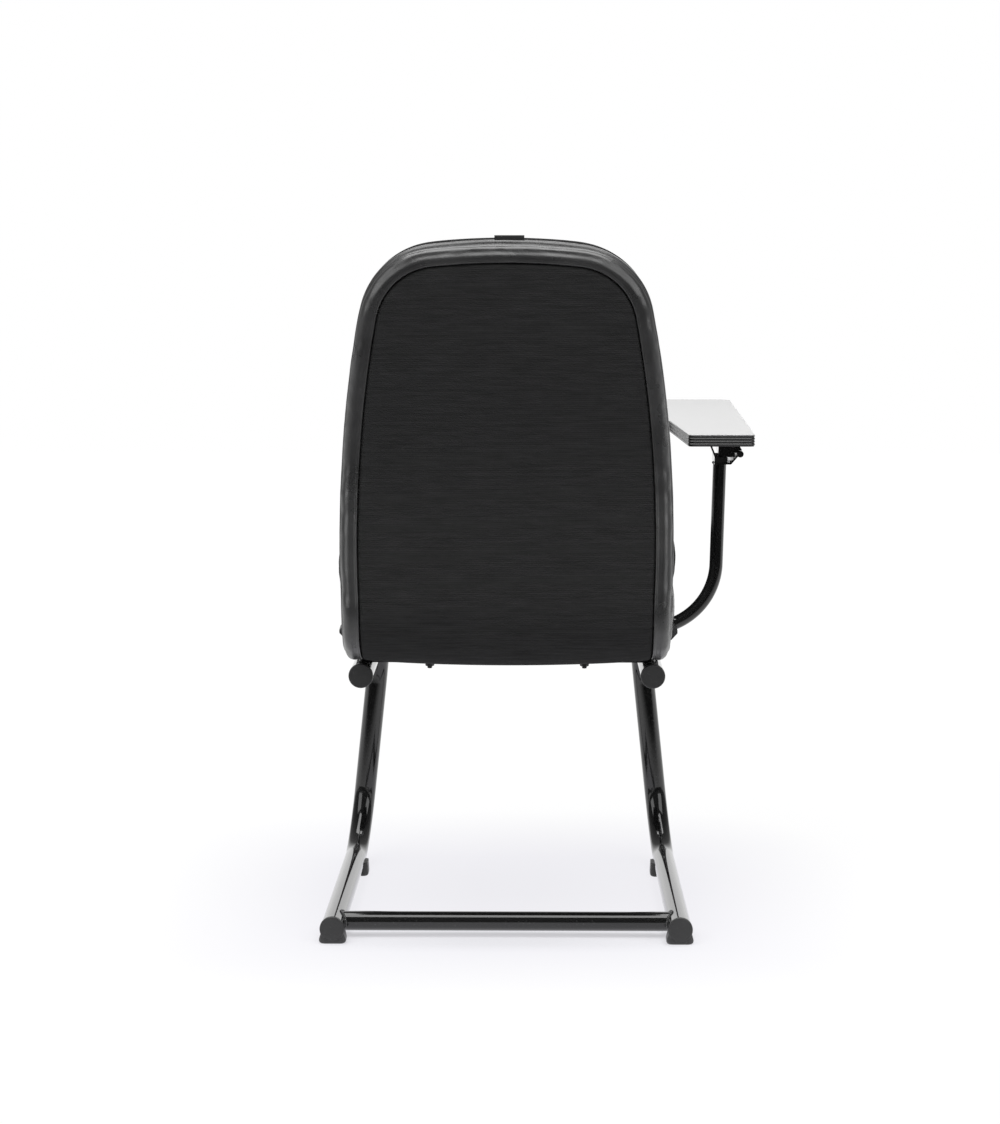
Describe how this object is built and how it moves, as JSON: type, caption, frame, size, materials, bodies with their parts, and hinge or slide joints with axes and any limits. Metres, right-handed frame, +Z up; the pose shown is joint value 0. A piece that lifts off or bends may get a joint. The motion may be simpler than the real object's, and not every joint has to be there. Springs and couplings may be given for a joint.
{
  "type": "student chair",
  "caption": "Black upholstered student chair on a bent-tube sled frame, with a pale writing tablet that folds up and out on a side hinge.",
  "frame": {"origin": "on the floor, in the chair's mid plane, midway between the front and rear feet", "axes": "+Z up, the sitter faces -Y, +X is the sitter's left; the tablet is on -X, the sitter's right"},
  "size_m": [0.5665, 0.7806, 0.8935],
  "materials": {
    "frame_paint": "gloss black enamel on steel tube",
    "black_plastic": "moulded, fine texture",
    "black_steel": "blackened",
    "plywood": "bare moulded plywood",
    "black_cloth": "plain woven cover over foam",
    "black_weave": "fine ribbed weave",
    "grey_vinyl": "soft vinyl with wrinkles",
    "tag_ribbon": "plain woven ribbon",
    "rubber": "matte",
    "pale_laminate": "satin laminate",
    "black_edging": "gloss extrusion with fine ribs"
  },
  "bodies": {
    "chair": {"side_frame_left": "frame_paint", "side_frame_right": "frame_paint", "rear_foot_left": "black_plastic", "rear_foot_right": "black_plastic", "front_glide_left": "black_plastic", "front_glide_right": "black_plastic", "upper_end_cap_left": "black_plastic", "upper_end_cap_right": "black_plastic", "carrier_plug_left": "black_plastic", "carrier_plug_right": "black_plastic", "rear_crossbar": "frame_paint", "rear_seat_strap": "frame_paint", "front_seat_strap": "frame_paint", "arm_carrier_bar": "frame_paint", "seat_spacers": "frame_paint", "seat_studs": "black_steel", "seat_washers": "black_steel", "seat_nuts": "black_steel", "shell_board": "plywood", "back_cushion": "black_cloth", "seat_cushion": "black_cloth", "back_panel": "black_weave", "seat_base_panel": "black_weave", "back_edge_band": "grey_vinyl", "seat_edge_band": "grey_vinyl", "label_tag": "tag_ribbon", "arm_tube": "frame_paint", "arm_foot_plate": "frame_paint", "arm_bolts": "black_steel", "arm_nuts": "black_steel", "hinge_bracket": "frame_paint", "hinge_rest_block": "rubber", "hinge_pin": "black_steel"},
    "tablet": {"hinge_leaf": "frame_paint", "tablet_board": "pale_laminate", "tablet_edging": "black_edging", "tablet_screws": "black_steel"}
  },
  "joints": [
    {"name": "tablet_fold", "type": "hinge", "parent": "chair", "child": "tablet", "pos_m": [-0.31, -0.09196, 0.604], "axis": [0, -0.9992, 0.0401], "range_deg": [0, 100]}
  ]
}
